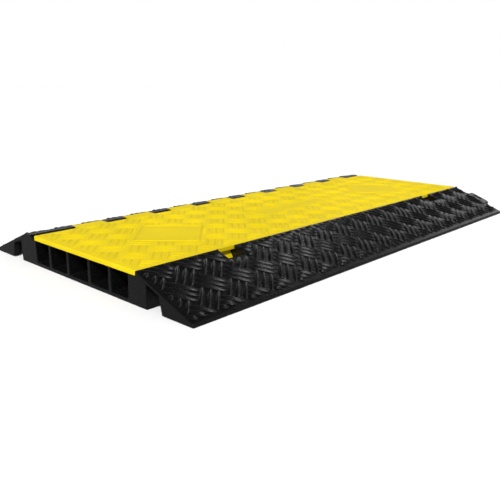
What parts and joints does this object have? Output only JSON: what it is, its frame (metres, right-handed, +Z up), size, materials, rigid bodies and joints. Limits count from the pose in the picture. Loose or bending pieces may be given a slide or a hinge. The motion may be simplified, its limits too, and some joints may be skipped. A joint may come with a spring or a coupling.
{
  "type": "cable protector ramp",
  "caption": "Low drive-over ramp with cable channels under a hinged lid and hook connectors at its ends.",
  "frame": {"origin": "centre of the base's flat underside, on the ground", "axes": "+X along the cable channels towards the hook end, +Y towards the hinge side, +Z up"},
  "size_m": [0.9524, 0.5016, 0.0487],
  "materials": {
    "black_polyurethane": "satin moulded black polyurethane with a fine grain",
    "yellow_polyurethane": "satin moulded yellow polyurethane with light scuffs",
    "glass_fibre_rod": "pultruded glass-fibre rod, lengthwise grain",
    "plug_rubber": "matt black rubber"
  },
  "bodies": {
    "base": {"base": "black_polyurethane", "hinge_rod": "glass_fibre_rod", "rod_plug": "plug_rubber"},
    "lid": {"lid": "yellow_polyurethane"}
  },
  "joints": [
    {"name": "lid_hinge", "type": "hinge", "parent": "base", "child": "lid", "pos_m": [0, 0.134, 0.0381], "axis": [-1, 0, 0], "range_deg": [0, 100]}
  ]
}
